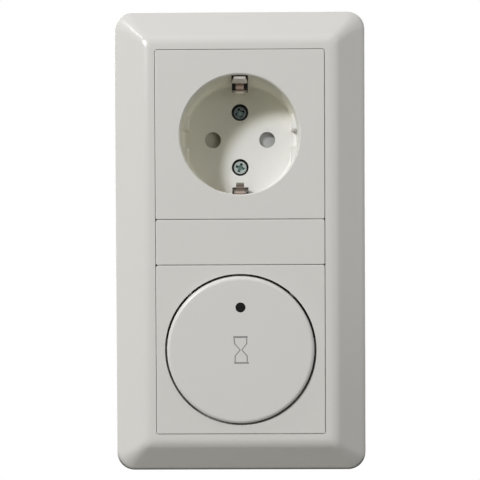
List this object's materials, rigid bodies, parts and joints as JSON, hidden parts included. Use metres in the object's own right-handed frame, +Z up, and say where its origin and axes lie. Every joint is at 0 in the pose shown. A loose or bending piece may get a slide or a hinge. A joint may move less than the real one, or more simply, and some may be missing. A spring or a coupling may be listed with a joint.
{
  "type": "timer light switch with socket outlet",
  "caption": "Flush wall combination in one sloped cover frame: an earthed, shuttered socket outlet above a large round sprung timer push button with a small lamp.",
  "frame": {"origin": "on the wall face, midway between the four box screws, so on the object's vertical centre line", "axes": "+X to the right as seen from the front, +Z up as it hangs, +Y into the wall; the front faces -Y"},
  "size_m": [0.085, 0.045, 0.156],
  "materials": {
    "ivory_plastic": "smooth moulded plastic, slightly warm off-white",
    "button_plastic": "smooth moulded plastic, slightly cooler off-white",
    "dark_plastic": "fine eroded texture",
    "shutter_plastic": "plain moulded, light grey",
    "grey_plastic": "plain moulded",
    "switch_plastic": "plain moulded",
    "zinc_steel": "zinc plated, slightly greenish",
    "ring_steel": "zinc plated sheet with faint spangle",
    "spring_steel": "drawn spring wire and strip",
    "earth_bronze": "plated bronze strip, rubbed at the crests",
    "contact_brass": "stamped brass",
    "lever_brown": "plain moulded",
    "lever_blue": "plain moulded",
    "lever_green": "plain moulded",
    "lens_dark": "tinted light guide, unlit",
    "board_laminate": "solder resist",
    "plunger_plastic": "plain moulded",
    "led_resin": "clear tinted resin",
    "relay_case": "smooth case",
    "film_case": "smooth case",
    "can_sleeve": "shrink sleeve with a bare vented end",
    "chip_resin": "moulded resin",
    "varistor_coat": "dipped coating"
  },
  "bodies": {
    "switch_body": {"cover_frame": "ivory_plastic", "filler_strip": "ivory_plastic", "socket_cover": "ivory_plastic", "socket_cover_screws": "zinc_steel", "earth_strap": "earth_bronze", "shutter_spring": "spring_steel", "socket_base": "dark_plastic", "line_contact": "contact_brass", "neutral_contact": "contact_brass", "clamp_springs": "spring_steel", "socket_back_cover": "dark_plastic", "socket_support_ring": "ring_steel", "socket_housing_screws": "zinc_steel", "timer_cover": "ivory_plastic", "button_springs": "spring_steel", "timer_carrier": "dark_plastic", "timer_support_ring": "ring_steel", "timer_housing": "dark_plastic", "timer_housing_screws": "zinc_steel", "circuit_board": "board_laminate", "push_switch": "switch_plastic", "indicator_led": "led_resin", "relay": "relay_case", "film_capacitor": "film_case", "electrolytic_capacitor": "can_sleeve", "controller_chip": "chip_resin", "varistor": "varistor_coat", "timer_terminal_block": "grey_plastic", "timer_terminal_clamps": "contact_brass", "timer_terminal_screws": "zinc_steel"},
    "button": {"timer_button": "button_plastic", "indicator_lens": "lens_dark"},
    "plunger": {"switch_plunger": "plunger_plastic"},
    "shutter_slider": {"shutter": "shutter_plastic"},
    "line_lever": {"line_release_lever": "lever_brown"},
    "neutral_lever": {"neutral_release_lever": "lever_blue"},
    "earth_lever": {"earth_release_lever": "lever_green"}
  },
  "joints": [
    {"name": "button_press", "type": "slide", "parent": "switch_body", "child": "button", "axis": [0, 1, 0], "range_m": [0, 0.0012], "stiffness_N_per_m": 1500, "springref_m": -0.001, "deforming": ["button_springs"]},
    {"name": "plunger_press", "type": "slide", "parent": "switch_body", "child": "plunger", "axis": [0, 1, 0], "range_m": [0, 0.0012]},
    {"name": "shutter_slide", "type": "slide", "parent": "switch_body", "child": "shutter_slider", "axis": [-1, 0, 0], "range_m": [0, 0.0063], "stiffness_N_per_m": 100, "springref_m": -0.002, "deforming": ["shutter_spring"]},
    {"name": "line_release", "type": "slide", "parent": "switch_body", "child": "line_lever", "axis": [0, -1, 0], "range_m": [0, 0.0015], "stiffness_N_per_m": 2000, "springref_m": -0.001, "deforming": ["clamp_springs"]},
    {"name": "neutral_release", "type": "slide", "parent": "switch_body", "child": "neutral_lever", "axis": [0, -1, 0], "range_m": [0, 0.0015], "stiffness_N_per_m": 2000, "springref_m": -0.001, "deforming": ["clamp_springs"]},
    {"name": "earth_release", "type": "slide", "parent": "switch_body", "child": "earth_lever", "axis": [0, -1, 0], "range_m": [0, 0.0015], "stiffness_N_per_m": 2000, "springref_m": -0.001, "deforming": ["clamp_springs"]}
  ],
  "couplings": [
    {"joint": "plunger_press", "follows": "button_press", "ratio": 1}
  ]
}
